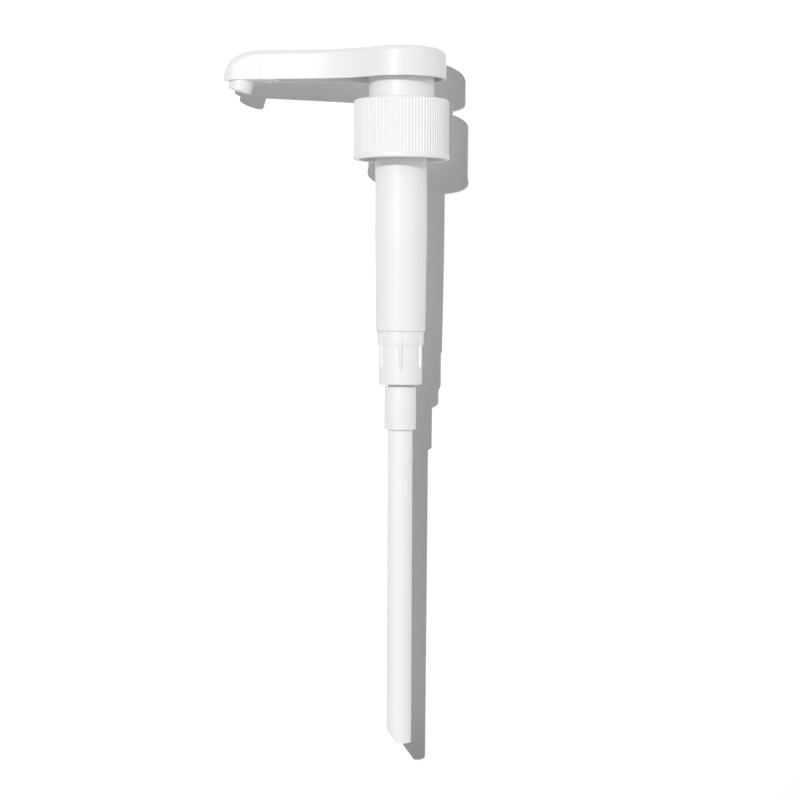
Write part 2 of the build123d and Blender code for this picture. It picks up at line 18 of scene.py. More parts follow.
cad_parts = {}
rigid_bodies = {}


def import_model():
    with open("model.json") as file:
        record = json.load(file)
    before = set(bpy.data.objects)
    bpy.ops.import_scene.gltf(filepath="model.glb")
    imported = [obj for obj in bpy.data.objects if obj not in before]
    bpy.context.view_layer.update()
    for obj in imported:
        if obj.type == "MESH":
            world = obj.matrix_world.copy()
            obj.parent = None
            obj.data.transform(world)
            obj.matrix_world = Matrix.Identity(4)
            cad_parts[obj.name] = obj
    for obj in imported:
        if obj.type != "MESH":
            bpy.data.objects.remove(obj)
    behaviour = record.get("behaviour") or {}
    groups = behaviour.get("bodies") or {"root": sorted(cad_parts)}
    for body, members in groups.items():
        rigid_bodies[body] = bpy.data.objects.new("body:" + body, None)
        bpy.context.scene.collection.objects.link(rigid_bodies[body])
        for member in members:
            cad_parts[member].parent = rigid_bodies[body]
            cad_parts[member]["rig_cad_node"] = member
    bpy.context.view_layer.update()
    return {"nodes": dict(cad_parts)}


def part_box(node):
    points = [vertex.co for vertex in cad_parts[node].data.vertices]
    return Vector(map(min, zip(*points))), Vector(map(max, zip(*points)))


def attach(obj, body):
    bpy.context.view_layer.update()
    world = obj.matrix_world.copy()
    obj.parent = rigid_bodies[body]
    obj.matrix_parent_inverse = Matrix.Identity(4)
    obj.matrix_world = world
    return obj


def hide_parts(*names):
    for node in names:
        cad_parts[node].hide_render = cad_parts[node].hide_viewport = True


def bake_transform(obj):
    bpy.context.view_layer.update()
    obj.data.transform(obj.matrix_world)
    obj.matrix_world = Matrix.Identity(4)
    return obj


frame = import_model()

MM = 0.001
LOG = logging.getLogger("pump")
Colour = tuple[float, float, float]

MOTTLE_OCTAVES = 3.0
GRAIN_OCTAVES = 4.0
NOISE_RANGE = (0.3, 0.7)  # most of a noise texture's values lie between these
SCATTER_RADII = (1.0, 0.96, 0.9)  # red goes a little deeper into white plastic than blue


class Body(str, Enum):
    """The moving bodies that pieces ride on."""

    PUMP = "pump_body"
    CLOSURE = "closure"
    PLUNGER = "plunger"
    HEAD = "head"


class Slot(str, Enum):
    """The record's material slots."""

    GLOSS = "gloss_white"
    SATIN = "satin_white"
    TUBE = "tube_white"
    SEAL = "soft_seal"
    STEEL = "steel"


# ------------------------------------------------------------------ small numpy helpers
def smoothstep(low: float, high: float, x: np.ndarray) -> np.ndarray:
    """Runs from 0 at low to 1 at high along the cubic 3s^2 - 2s^3, with s the share of the way.

    Args:
        low: value of x where the step starts.
        high: value of x where the step ends; it may be below low.
        x: values to look up.

    Returns:
        The step's height at each x, from 0 to 1.
    """
    s = np.clip((x - low) / (high - low), 0.0, 1.0)
    return s * s * (3.0 - 2.0 * s)


def grid_faces(rows: int, columns: int, wrap_rows: bool, wrap_columns: bool) -> np.ndarray:
    """Corner numbers of the quads between neighbouring points of a grid.

    Args:
        rows: number of rows in the grid.
        columns: number of points in a row.
        wrap_rows: whether the last row joins the first.
        wrap_columns: whether the last column joins the first.

    Returns:
        An array of quads, four corner numbers each, with point (i, j) numbered i * columns + j.
    """
    i = np.arange(rows if wrap_rows else rows - 1)[:, None]
    j = np.arange(columns if wrap_columns else columns - 1)[None, :]
    below = (i + 1) % rows
    beside = (j + 1) % columns
    quads = np.stack(
        [i * columns + j, i * columns + beside, below * columns + beside, below * columns + j], axis=-1
    )
    return quads.reshape(-1, 4)


def surface(name: str, parts: list[tuple[np.ndarray, np.ndarray]], crease: float = 40.0) -> bpy.types.Object:
    """Makes one object of one or more closed surfaces, in millimetres, and smooths it below an angle.

    Args:
        name: the object's name.
        parts: pairs of points (n, 3) in millimetres and faces (m, 4); a face may repeat a corner.
        crease: edges whose faces turn by more than this many degrees stay sharp.

    Returns:
        The object, at the origin, with its doubles merged and its faces pointing outwards.
    """
    points = np.vstack([p.reshape(-1, 3) for p, _ in parts]) * MM
    starts = np.cumsum([0] + [len(p.reshape(-1, 3)) for p, _ in parts[:-1]])
    faces = np.vstack([f + s for (_, f), s in zip(parts, starts)])
    mesh = bpy.data.meshes.new(name)
    mesh.from_pydata(points.tolist(), [], faces.tolist())
    work = bmesh.new()
    work.from_mesh(mesh)
    bmesh.ops.remove_doubles(work, verts=work.verts, dist=1e-7)
    bmesh.ops.dissolve_degenerate(work, edges=work.edges, dist=1e-8)
    bmesh.ops.recalc_face_normals(work, faces=work.faces)
    work.to_mesh(mesh)
    work.free()
    mesh.shade_smooth()
    mesh.set_sharp_from_angle(angle=math.radians(crease))
    piece = bpy.data.objects.new(name, mesh)
    bpy.context.scene.collection.objects.link(piece)
    return piece


def revolve(profile: np.ndarray, columns: int) -> tuple[np.ndarray, np.ndarray]:
    """Turns a closed profile about Z: point (i, j) is (r_i cos t_j, r_i sin t_j, z_i).

    Args:
        profile: closed loop of (radius, height) rows in millimetres.
        columns: number of equal steps round the axis.

    Returns:
        Points and faces for surface().
    """
    turn = np.linspace(0.0, 2.0 * np.pi, columns, endpoint=False)
    r = profile[:, :1]
    z = np.repeat(profile[:, 1:], columns, axis=1)
    points = np.stack([r * np.cos(turn), r * np.sin(turn), z], axis=-1)
    return points, grid_faces(len(profile), columns, True, True)


def rounded(corners: list[tuple[float, float, float]], steps: int = 5) -> np.ndarray:
    """Closed profile through corners, each rounded: a quadratic curve cuts the corner a given way before it.

    Args:
        corners: (radius, height, cut) of each corner in millimetres; a cut of 0 leaves it sharp.
        steps: points on each rounded corner.

    Returns:
        Rows of (radius, height).
    """
    xy = np.array([c[:2] for c in corners], float)
    cut = np.array([c[2] for c in corners], float)[:, None]
    before = np.roll(xy, 1, axis=0) - xy
    after = np.roll(xy, -1, axis=0) - xy
    start = xy + before / np.linalg.norm(before, axis=1, keepdims=True) * cut
    end = xy + after / np.linalg.norm(after, axis=1, keepdims=True) * cut
    s = np.linspace(0.0, 1.0, steps)[None, :, None]
    curve = (1 - s) ** 2 * start[:, None] + 2 * s * (1 - s) * xy[:, None] + s**2 * end[:, None]
    kept = [row if c > 0 else row[:1] for row, c in zip(curve, cut[:, 0])]
    return np.vstack(kept)


# ------------------------------------------------------------------ finishes
@dataclass(frozen=True)
class Finish:
    """A procedural finish on Object coordinates: two tones mottled together, a grain in roughness and height.

    Attributes:
        name: the material's name.
        tone: main colour, linear.
        shade: the colour that the mottling turns towards.
        mottle: size of the blotches, in metres.
        roughness: lowest roughness.
        roughness_spread: how much rougher the dullest spots are.
        grain: size of the surface grain, in metres.
        grain_height: height of the grain, in metres.
        scatter: subsurface weight.
        depth: how far light goes under the surface, in metres.
        gloss: strength of the mirror reflection, 0.5 being that of a common plastic.
        metallic: 1 for metal, else 0.
        draw: stretch of the grain along Z, for drawn or extruded pieces.
    """

    name: str
    tone: Colour
    shade: Colour
    mottle: float
    roughness: float
    roughness_spread: float
    grain: float
    grain_height: float
    scatter: float = 0.0
    depth: float = 1.5 * MM
    gloss: float = 0.5
    metallic: float = 0.0
    draw: float = 1.0

    def build(self) -> bpy.types.Material:
        """Makes the material's node tree.

        Returns:
            The material.
        """
        material = bpy.data.materials.new(self.name)
        material.use_nodes = True
        nodes, links = material.node_tree.nodes, material.node_tree.links
        shader = nodes["Principled BSDF"]
        place = nodes.new("ShaderNodeTexCoord")
        stretch = nodes.new("ShaderNodeMapping")
        stretch.inputs["Scale"].default_value = (1.0, 1.0, 1.0 / self.draw)
        links.new(place.outputs["Object"], stretch.inputs["Vector"])
        blotch = self._noise(nodes, 1.0 / self.mottle, MOTTLE_OCTAVES)
        grain = self._noise(nodes, 1.0 / self.grain, GRAIN_OCTAVES)
        links.new(stretch.outputs["Vector"], blotch.inputs["Vector"])
        links.new(stretch.outputs["Vector"], grain.inputs["Vector"])
        tint = nodes.new("ShaderNodeMix")
        tint.data_type = "RGBA"
        tint.inputs["A"].default_value = (*self.tone, 1.0)
        tint.inputs["B"].default_value = (*self.shade, 1.0)
        links.new(blotch.outputs["Fac"], tint.inputs["Factor"])
        links.new(tint.outputs["Result"], shader.inputs["Base Color"])
        dull = nodes.new("ShaderNodeMapRange")
        dull.inputs["From Min"].default_value, dull.inputs["From Max"].default_value = NOISE_RANGE
        dull.inputs["To Min"].default_value = self.roughness
        dull.inputs["To Max"].default_value = self.roughness + self.roughness_spread
        links.new(grain.outputs["Fac"], dull.inputs["Value"])
        links.new(dull.outputs["Result"], shader.inputs["Roughness"])
        bump = nodes.new("ShaderNodeBump")
        bump.inputs["Strength"].default_value = 1.0
        bump.inputs["Distance"].default_value = self.grain_height
        links.new(grain.outputs["Fac"], bump.inputs["Height"])
        links.new(bump.outputs["Normal"], shader.inputs["Normal"])
        shader.inputs["Metallic"].default_value = self.metallic
        shader.inputs["Specular IOR Level"].default_value = self.gloss
        shader.inputs["Subsurface Weight"].default_value = self.scatter
        shader.inputs["Subsurface Radius"].default_value = SCATTER_RADII
        shader.inputs["Subsurface Scale"].default_value = self.depth
        return material

    @staticmethod
    def _noise(nodes: bpy.types.Nodes, scale: float, detail: float) -> bpy.types.Node:
        """Adds a noise texture of a scale per metre and a number of octaves."""
        noise = nodes.new("ShaderNodeTexNoise")
        noise.inputs["Scale"].default_value = scale
        noise.inputs["Detail"].default_value = detail
        return noise


GLOSSY_PLASTIC = Finish(
    name="glossy_white_plastic", tone=(0.765, 0.77, 0.77), shade=(0.74, 0.745, 0.745),
    mottle=9 * MM, roughness=0.29, roughness_spread=0.06, grain=1.5 * MM, grain_height=0.003 * MM,
    gloss=0.35,
)
SATIN_PLASTIC = Finish(
    name="satin_white_plastic", tone=(0.81, 0.815, 0.82), shade=(0.78, 0.785, 0.79),
    mottle=7 * MM, roughness=0.36, roughness_spread=0.1, grain=0.7 * MM, grain_height=0.005 * MM,
    scatter=0.1,
)
DRAWN_TUBE = Finish(
    name="drawn_tube_plastic", tone=(0.86, 0.855, 0.845), shade=(0.83, 0.82, 0.81),
    mottle=5 * MM, roughness=0.32, roughness_spread=0.14, grain=0.8 * MM, grain_height=0.006 * MM,
    scatter=0.2, draw=14.0,
)
SOFT_SEAL = Finish(
    name="soft_seal_rubber", tone=(0.62, 0.61, 0.58), shade=(0.55, 0.54, 0.5),
    mottle=4 * MM, roughness=0.55, roughness_spread=0.15, grain=0.4 * MM, grain_height=0.01 * MM,
)
STEEL = Finish(
    name="drawn_steel", tone=(0.62, 0.62, 0.61), shade=(0.52, 0.52, 0.51),
    mottle=2 * MM, roughness=0.14, roughness_spread=0.1, grain=0.3 * MM, grain_height=0.003 * MM,
    metallic=1.0,
)


class Wardrobe:
    """Builds each finish once and puts it on pieces by their material slot."""

    def __init__(self) -> None:
        """Builds the five finishes."""
        self.materials: dict[Slot, bpy.types.Material] = {
            Slot.GLOSS: GLOSSY_PLASTIC.build(),
            Slot.SATIN: SATIN_PLASTIC.build(),
            Slot.TUBE: DRAWN_TUBE.build(),
            Slot.SEAL: SOFT_SEAL.build(),
            Slot.STEEL: STEEL.build(),
        }

    def dress(self, piece: bpy.types.Object, slot: Slot) -> None:
        """Replaces all of a piece's materials by its slot's finish.

        Args:
            piece: a new piece or a CAD node.
            slot: the record's slot that the piece takes its finish from.
        """
        material = self.materials[slot]
        if piece.material_slots:
            for place in piece.material_slots:
                place.material = material
        else:
            piece.data.materials.append(material)
        LOG.info("dressed %s in %s", piece.name, slot.value)


def place_new(piece: bpy.types.Object, body: Body, *nodes: str) -> bpy.types.Object:
    """Makes a new piece ride on a body and stand for CAD nodes.

    Args:
        piece: the new piece.
        body: the body that it moves with.
        nodes: names of the CAD nodes that it replaces.

    Returns:
        The piece.
    """
    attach(piece, body.value)
    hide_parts(*nodes)
    LOG.info("made %s for %s", piece.name, ", ".join(nodes))
    return piece


# ------------------------------------------------------------------ closure
@dataclass
class Closure:
    """Ribbed screw cap. Lengths are millimetres."""

    ribs: int = 90
    rib_depth: float = 0.3
    crest_half: float = 0.1  # of a rib's pitch
    valley_half: float = 0.42
    rim_height: float = 2.2
    rim_step: float = 0.3
    shoulder: float = 1.2
    wall: float = 2.4
    roof: float = 2.6
    mouth: float = 15.1
    deck: tuple[float, float] = (17.0, 19.2)  # radii of two rows on the flat top
    grip_rows: int = 12
    thread_pitch: float = 4.23
    thread_turns: float = 1.5
    thread_depth: float = 1.15
    thread_start: float = 9.6  # below the pump's seat
    thread_row: float = 0.42  # height of a row of points inside
    thread_crest: float = 0.5  # half height of the ridge's flat top
    thread_foot: float = 1.25
    thread_fade: float = 0.04  # share of a turn over which each end of the ridge runs out
    rib_samples: tuple[float, ...] = (-0.5, -0.39, -0.32, -0.25, -0.17, 0.0, 0.17, 0.25, 0.32, 0.39)

    def profile(self) -> tuple[np.ndarray, np.ndarray, np.ndarray]:
        """Closed section of the cap, from the mouth's upper edge outwards and round the inside.

        Returns:
            Radii, heights, and for each row the share of rib depth that its valleys lose.
        """
        low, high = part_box("closure")
        top, foot, rim_r = high.z / MM, low.z / MM, high.x / MM
        grip_r = rim_r - self.rim_step
        rim_top = foot + self.rim_height
        bore_r = rim_r - self.rim_step - self.wall
        arc = np.linspace(0.0, np.pi / 2, 7)
        shoulder_r = grip_r - self.shoulder + self.shoulder * np.sin(arc)
        shoulder_z = top - self.shoulder + self.shoulder * np.cos(arc)
        grip_z = np.linspace(top - self.shoulder - 0.3, rim_top + 0.5, self.grip_rows)
        roof_z = top - self.roof
        thread_z = np.arange(roof_z - 0.5, foot + 0.8, -self.thread_row)
        rows = [
            (self.mouth, top - 0.2, 0.0), (self.mouth + 0.2, top, 0.0),
            *[(r, top, 0.0) for r in self.deck],
            *zip(shoulder_r, shoulder_z, smoothstep(0.25, 1.0, arc / (np.pi / 2))),
            *[(grip_r, z, 1.0) for z in grip_z],
            (grip_r, rim_top + 0.15, 0.75), (grip_r, rim_top, 0.0),
            (rim_r - 0.15, rim_top - 0.02, 0.0), (rim_r - 0.02, rim_top - 0.2, 0.0),
            (rim_r, rim_top - 0.45, 0.0),
            (rim_r, foot + 0.6, 0.0), (rim_r - 0.05, foot + 0.35, 0.0), (rim_r - 0.2, foot + 0.12, 0.0),
            (rim_r - 0.45, foot, 0.0), (bore_r + 0.4, foot, 0.0), (bore_r + 0.1, foot + 0.1, 0.0),
            *[(bore_r, z, -1.0) for z in thread_z[::-1]],
            (bore_r, roof_z - 0.2, 0.0), (bore_r - 0.2, roof_z, 0.0), (self.mouth + 0.1, roof_z, 0.0),
            (self.mouth, roof_z + 0.1, 0.0),
        ]
        table = np.array(rows, float)
        return table[:, 0], table[:, 1], table[:, 2]

    def build(self) -> bpy.types.Object:
        """Works the cap out over (row, angle), with ribs cut into its outside and a thread inside.

        The radius loses rib depth by the valley's share, which is a smooth step of the distance from the
        nearest crest, as a share of the pitch. Inside, the radius shrinks by a ridge with smooth flanks that
        follows a helix of the jug's pitch.

        Returns:
            The piece.
        """
        radius, height, valley = (a[:, None] for a in self.profile())
        rib, sample = np.meshgrid(np.arange(self.ribs), np.array(self.rib_samples), indexing="ij")
        turn = ((rib + sample) / self.ribs * 2.0 * np.pi).ravel()[None, :]
        from_crest = np.abs(sample).ravel()[None, :]
        loss = self.rib_depth * smoothstep(self.crest_half, self.valley_half, from_crest)
        r = radius - np.clip(valley, 0.0, 1.0) * loss
        along = np.mod(turn, 2.0 * np.pi) / (2.0 * np.pi)
        ridge = np.zeros_like(r)
        for lap in range(math.ceil(self.thread_turns)):
            turns = along + lap
            centre = -self.thread_start + turns * self.thread_pitch
            fade = smoothstep(0.0, self.thread_fade, turns)
            fade = fade * smoothstep(self.thread_turns, self.thread_turns - self.thread_fade, turns)
            here = smoothstep(self.thread_foot, self.thread_crest, np.abs(height - centre)) * fade
            ridge = np.maximum(ridge, here)
        r = r - np.where(valley < 0.0, ridge * self.thread_depth, 0.0)
        z = np.broadcast_to(height, r.shape)
        points = np.stack([r * np.cos(turn), r * np.sin(turn), z], axis=-1)
        faces = grid_faces(r.shape[0], r.shape[1], True, True)
        return place_new(surface("closure_cap", [(points, faces)], 35.0), Body.CLOSURE, "closure")

    def dress(self, wardrobe: Wardrobe) -> None:
        """Builds the cap and dresses it."""
        wardrobe.dress(self.build(), Slot.SATIN)


# ------------------------------------------------------------------ seam of the spout
@dataclass
class SpoutSeam:
    """Thin land at the bottom of the joint between arm and nose cap. Lengths are millimetres."""

    joint: float = -63.3  # x of the arm's end
    gap: float = 0.05
    recess: float = 0.14
    half_width: float = 6.63
    corner: float = 3.3
    bore_r: float = 4.6
    bore_drop: float = 7.0  # from the arm's top to the middle of the bore
    rise: float = 13.5  # of the arm's section
    rim_drop: float = 0.8  # from the lock collar's top to the arm's lower edge
    columns: int = 96

    def outline(self) -> np.ndarray:
        """Section of the arm as seen along X, sampled by the angle about the bore.

        The distance from the bore's middle, along a ray, is the least of those to the two sides and to the
        bottom or top. Where the ray ends in an upper corner, it stops at that corner's arc instead, which is
        the larger root of the quadratic |s d - c| = r with c the arc's middle.

        Returns:
            Rows of (y, z) about the bore's middle.
        """
        turn = np.linspace(0.0, 2.0 * np.pi, self.columns, endpoint=False)
        d = np.stack([np.cos(turn), np.sin(turn)], axis=-1)
        top = self.bore_drop
        side = self.half_width / np.maximum(np.abs(d[:, 0]), 1e-6)
        end = np.where(d[:, 1] > 0.0, top, self.rise - top) / np.maximum(np.abs(d[:, 1]), 1e-6)
        s = np.minimum(side, end)
        middle = np.array([self.half_width - self.corner, top - self.corner])
        c = np.stack([np.sign(d[:, 0]) * middle[0], np.full(self.columns, middle[1])], axis=-1)
        along = (d * c).sum(-1)
        root = along + np.sqrt(np.maximum(along**2 - (c**2).sum(-1) + self.corner**2, 0.0))
        at = d * s[:, None]
        in_corner = (np.abs(at[:, 0]) > middle[0]) & (at[:, 1] > middle[1])
        return d * (np.where(in_corner, root, s) - self.recess)[:, None]

    def build(self) -> bpy.types.Object:
        """Joins the outline to the bore by a ring one gap thick.

        Returns:
            The piece.
        """
        outer = self.outline()
        inner = outer / np.linalg.norm(outer, axis=1, keepdims=True) * self.bore_r
        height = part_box("lock_collar")[1].z / MM - self.rim_drop + self.rise - self.bore_drop
        far = self.joint - self.gap
        rows = [(self.joint, outer), (far, outer), (far, inner), (self.joint, inner)]
        points = np.stack(
            [np.column_stack([np.full(self.columns, x), yz[:, 0], yz[:, 1] + height]) for x, yz in rows]
        )
        piece = surface("spout_seam", [(points, grid_faces(4, self.columns, True, True))])
        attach(piece, Body.HEAD.value)
        LOG.info("made %s", piece.name)
        return piece

    def dress(self, wardrobe: Wardrobe) -> None:
        """Builds the land and dresses it."""
        wardrobe.dress(self.build(), Slot.GLOSS)


# ------------------------------------------------------------------ foot valve housing
@dataclass
class ValveHousing:
    """Foot of the pump: a soft band, six ribs that end in points, and a nipple. Lengths are millimetres."""

    barrel_r: float = 9.85
    band_r: float = 10.6
    band_height: float = 4.9
    band_slope: float = 2.2
    spigot_r: float = 10.1
    spigot_height: float = 12.0
    groove_depth: float = 1.8
    groove_half: float = 0.9
    barrel_height: float = 24.05
    chamber_r: float = 7.4
    floor: float = 6.0
    nipple_bore_r: float = 3.4
    nipple_r: float = 5.65
    ribs: int = 6
    rib_r: float = 10.9
    rib_turn: float = 7.0  # degrees from the pump's front
    rib_height: float = 17.6
    rib_point: float = 3.2  # length of a rib's tapered end
    rib_crest: float = 1.2  # degrees from a rib's middle
    rib_foot: float = 4.7
    rib_end_width: float = 0.35  # of a rib's width, at the end of its point
    rib_samples: tuple[float, ...] = (0.0, 0.7, 1.3, 1.9, 2.5, 3.2, 4.0, 4.8, 7.0, 11.0, 16.0, 23.0, 30.0)

    def profile(self) -> np.ndarray:
        """Closed section of the housing, from the nipple's end up the outside and down the inside.

        Returns:
            Rows of (radius, height).
        """
        low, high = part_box("valve_housing")
        foot, top = low.z / MM, high.z / MM
        seat = top - self.spigot_height
        base = seat - self.barrel_height
        band = seat - self.band_height
        ring = seat + self.spigot_height / 2
        groove_r = self.spigot_r - self.groove_depth
        cone = base + self.floor
        side = [(self.barrel_r, z, 0.0) for z in np.linspace(base + 1.2, band - self.band_slope - 0.2, 26)]
        upper = [(self.band_r, z, 0.0) for z in np.linspace(band + 0.8, seat - 0.6, 6)]
        return rounded([
            (self.nipple_bore_r, foot, 0.2), (self.nipple_r, foot, 0.4), (self.nipple_r, base, 0.2),
            (self.barrel_r, base, 0.9), *side,
            (self.barrel_r, band - self.band_slope, 0.0),
            (self.barrel_r + 0.12, band - 0.75 * self.band_slope, 0.0),
            (self.band_r - 0.12, band - 0.25 * self.band_slope, 0.0),
            (self.band_r, band, 0.0), *upper,
            (self.band_r, seat, 0.2), (self.spigot_r, seat, 0.0),
            (self.spigot_r, ring - self.groove_half, 0.0), (groove_r, ring - self.groove_half, 0.0),
            (groove_r, ring + self.groove_half, 0.0), (self.spigot_r, ring + self.groove_half, 0.0),
            (self.spigot_r, top, 0.3), (self.chamber_r, top, 0.3),
            (self.chamber_r, cone + self.chamber_r - self.nipple_bore_r, 0.4),
            (self.nipple_bore_r, cone, 0.4),
        ])

    def build(self) -> bpy.types.Object:
        """Turns the section about Z and lets each rib stand out from it.

        A rib's share is a smooth step of the angle from its middle. Down its last stretch the rib narrows and
        sinks to a point, and upwards it ends in the step over the band.

        Returns:
            The piece.
        """
        section = self.profile()
        radius, height = section[:, :1], section[:, 1:]
        samples = np.array(self.rib_samples)
        offsets = np.concatenate([-samples[-2:0:-1], samples])
        middles = self.rib_turn - 90.0 + np.arange(self.ribs)[:, None] * 360.0 / self.ribs
        turn = np.radians((middles + offsets[None, :]).ravel())[None, :]
        away = np.abs(np.tile(offsets, self.ribs))[None, :]
        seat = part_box("valve_housing")[1].z / MM - self.spigot_height
        end = seat - self.rib_height
        grown = smoothstep(end, end + self.rib_point, height)
        span = self.rib_end_width + (1.0 - self.rib_end_width) * grown
        share = smoothstep(self.rib_foot, self.rib_crest, away / span) * np.sqrt(grown)
        outside = (radius > self.barrel_r - 0.5) & (height < seat - 0.05)
        r = np.where(outside, radius + np.maximum(self.rib_r - radius, 0.0) * share, radius)
        z = np.broadcast_to(height, r.shape)
        points = np.stack([r * np.cos(turn), r * np.sin(turn), z], axis=-1)
        piece = surface("foot_housing", [(points, grid_faces(*r.shape, True, True))], 42.0)
        return place_new(piece, Body.PUMP, "valve_housing")

    def dress(self, wardrobe: Wardrobe) -> None:
        """Builds the housing and dresses it."""
        wardrobe.dress(self.build(), Slot.SATIN)


# ------------------------------------------------------------------ ferrule and dip tube
@dataclass
class Suction:
    """Ferrule and dip tube below the housing. Lengths are millimetres."""

    columns: int = 96
    fit: float = 0.01  # between the ferrule's bore and the tube
    ferrule_edge: float = 0.6
    line_depth: float = 0.09
    line_half: float = 0.35
    line_place: float = 1.7  # from each end
    wall: float = 1.1
    cut_height: float = 6.5
    cut_inset: float = 0.4
    cut_run: float = 2.0  # how far above the cut its slant still bends the rows
    rows: int = 40

    def ferrule(self) -> bpy.types.Object:
        """Turns the sleeve's section, which has rounded ends and a shallow line pressed in near each of them.

        Returns:
            The piece.
        """
        low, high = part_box("tube_ferrule")
        foot, top, outer = low.z / MM, high.z / MM, high.x / MM
        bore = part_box("dip_tube")[1].x / MM + self.fit
        lines = []
        for place in (foot + self.line_place, top - self.line_place):
            lines += [
                (outer, place - 2 * self.line_half, 0.0), (outer - self.line_depth, place, 0.3),
                (outer, place + 2 * self.line_half, 0.0),
            ]
        edge = self.ferrule_edge
        section = rounded([
            (bore, foot, 0.15), (outer, foot, edge), *lines, (outer, top, edge), (bore, top, 0.15),
        ])
        piece = surface("ferrule_sleeve", [revolve(section, self.columns)], 50.0)
        return place_new(piece, Body.PUMP, "tube_ferrule")

    def dip_tube(self) -> bpy.types.Object:
        """Turns the tube's section and lifts its lower end to an oblique cut on the spout's side.

        The end lies at the tip's height plus a slope times how far a point is past the inset on the -X side.
        Points above the end rise with it by a share that falls evenly to 0 at the cut's reach.

        Returns:
            The piece.
        """
        low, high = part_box("dip_tube")
        tip, top, outer = low.z / MM, high.z / MM, high.x / MM
        inner = outer - self.wall
        reach = tip + self.cut_height + self.cut_run
        down = [(outer, z, 0.0) for z in np.linspace(reach, top - 1.0, self.rows)]
        up = [(inner, z, 0.0) for z in np.linspace(top - 1.0, reach, self.rows)]
        section = rounded([
            (inner, tip, 0.12), (outer, tip, 0.12), *down, (outer, top, 0.2), (inner, top, 0.2), *up,
        ])
        points, faces = revolve(section, self.columns)
        slope = self.cut_height / (outer - self.cut_inset)
        lift = np.maximum(-points[..., 0] - self.cut_inset, 0.0) * slope
        near = np.clip((reach - points[..., 2]) / (reach - tip), 0.0, 1.0)
        points[..., 2] += lift * near
        return place_new(surface("suction_tube", [(points, faces)], 50.0), Body.PUMP, "dip_tube")

    def dress(self, wardrobe: Wardrobe) -> None:
        """Builds both pieces and dresses them."""
        wardrobe.dress(self.ferrule(), Slot.SATIN)
        wardrobe.dress(self.dip_tube(), Slot.TUBE)


# ------------------------------------------------------------------ return spring
@dataclass
class ReturnSpring:
    """Steel coil spring. Lengths are millimetres."""

    wire: float = 0.8  # half thickness
    turns: float = 11.0
    steps_per_turn: int = 32
    around: int = 10

    def build(self) -> bpy.types.Object:
        """Carries a circle along a helix, between the spring's lowest and highest coil.

        The centre line is (R cos t, R sin t, z(t)), with z growing evenly with t. The circle lies in the
        plane of the radial direction and Z, which is all but square to the wire. Each end is closed by a pole
        in the middle of its circle.

        Returns:
            The piece.
        """
        low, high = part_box("return_spring")
        radius = high.x / MM - self.wire
        steps = int(self.turns * self.steps_per_turn) + 1
        t = np.linspace(0.0, 2.0 * np.pi * self.turns, steps)
        z = np.linspace(low.z / MM + self.wire, high.z / MM - self.wire, steps)
        phi = np.linspace(0.0, 2.0 * np.pi, self.around, endpoint=False)[None, :]
        t = np.concatenate([t[:1], t, t[-1:]])[:, None]
        z = np.concatenate([z[:1], z, z[-1:]])[:, None]
        thickness = np.concatenate([[[0.0]], np.full((steps, 1), self.wire), [[0.0]]])
        r = radius + thickness * np.cos(phi)
        points = np.stack([r * np.cos(t), r * np.sin(t), z + thickness * np.sin(phi)], axis=-1)
        piece = surface("return_spring_coil", [(points, grid_faces(len(t), self.around, False, True))])
        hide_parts("return_spring")
        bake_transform(piece)
        LOG.info("made %s", piece.name)
        return piece

    def dress(self, wardrobe: Wardrobe) -> None:
        """Builds the spring and dresses it."""
        wardrobe.dress(self.build(), Slot.STEEL)


# ------------------------------------------------------------------ pieces carried over from the CAD model
@dataclass
class CarriedPieces:
    """CAD nodes whose shape stays, by material slot."""

    slots: dict[Slot, tuple[str, ...]] = field(
        default_factory=lambda: {
            Slot.GLOSS: ("head", "nose_cap", "nozzle"),
            Slot.SATIN: ("lock_collar", "body_tube", "stem", "outlet_seat", "piston", "ball_cage"),
            Slot.SEAL: ("nose_ring", "piston_seal", "stem_wiper", "neck_gasket", "housing_ring"),
            Slot.STEEL: ("outlet_ball", "inlet_ball"),
        }
    )

    def dress(self, wardrobe: Wardrobe) -> None:
        """Gives every carried node its finish."""
        for slot, names in self.slots.items():
            for name in names:
                wardrobe.dress(frame["nodes"][name], slot)


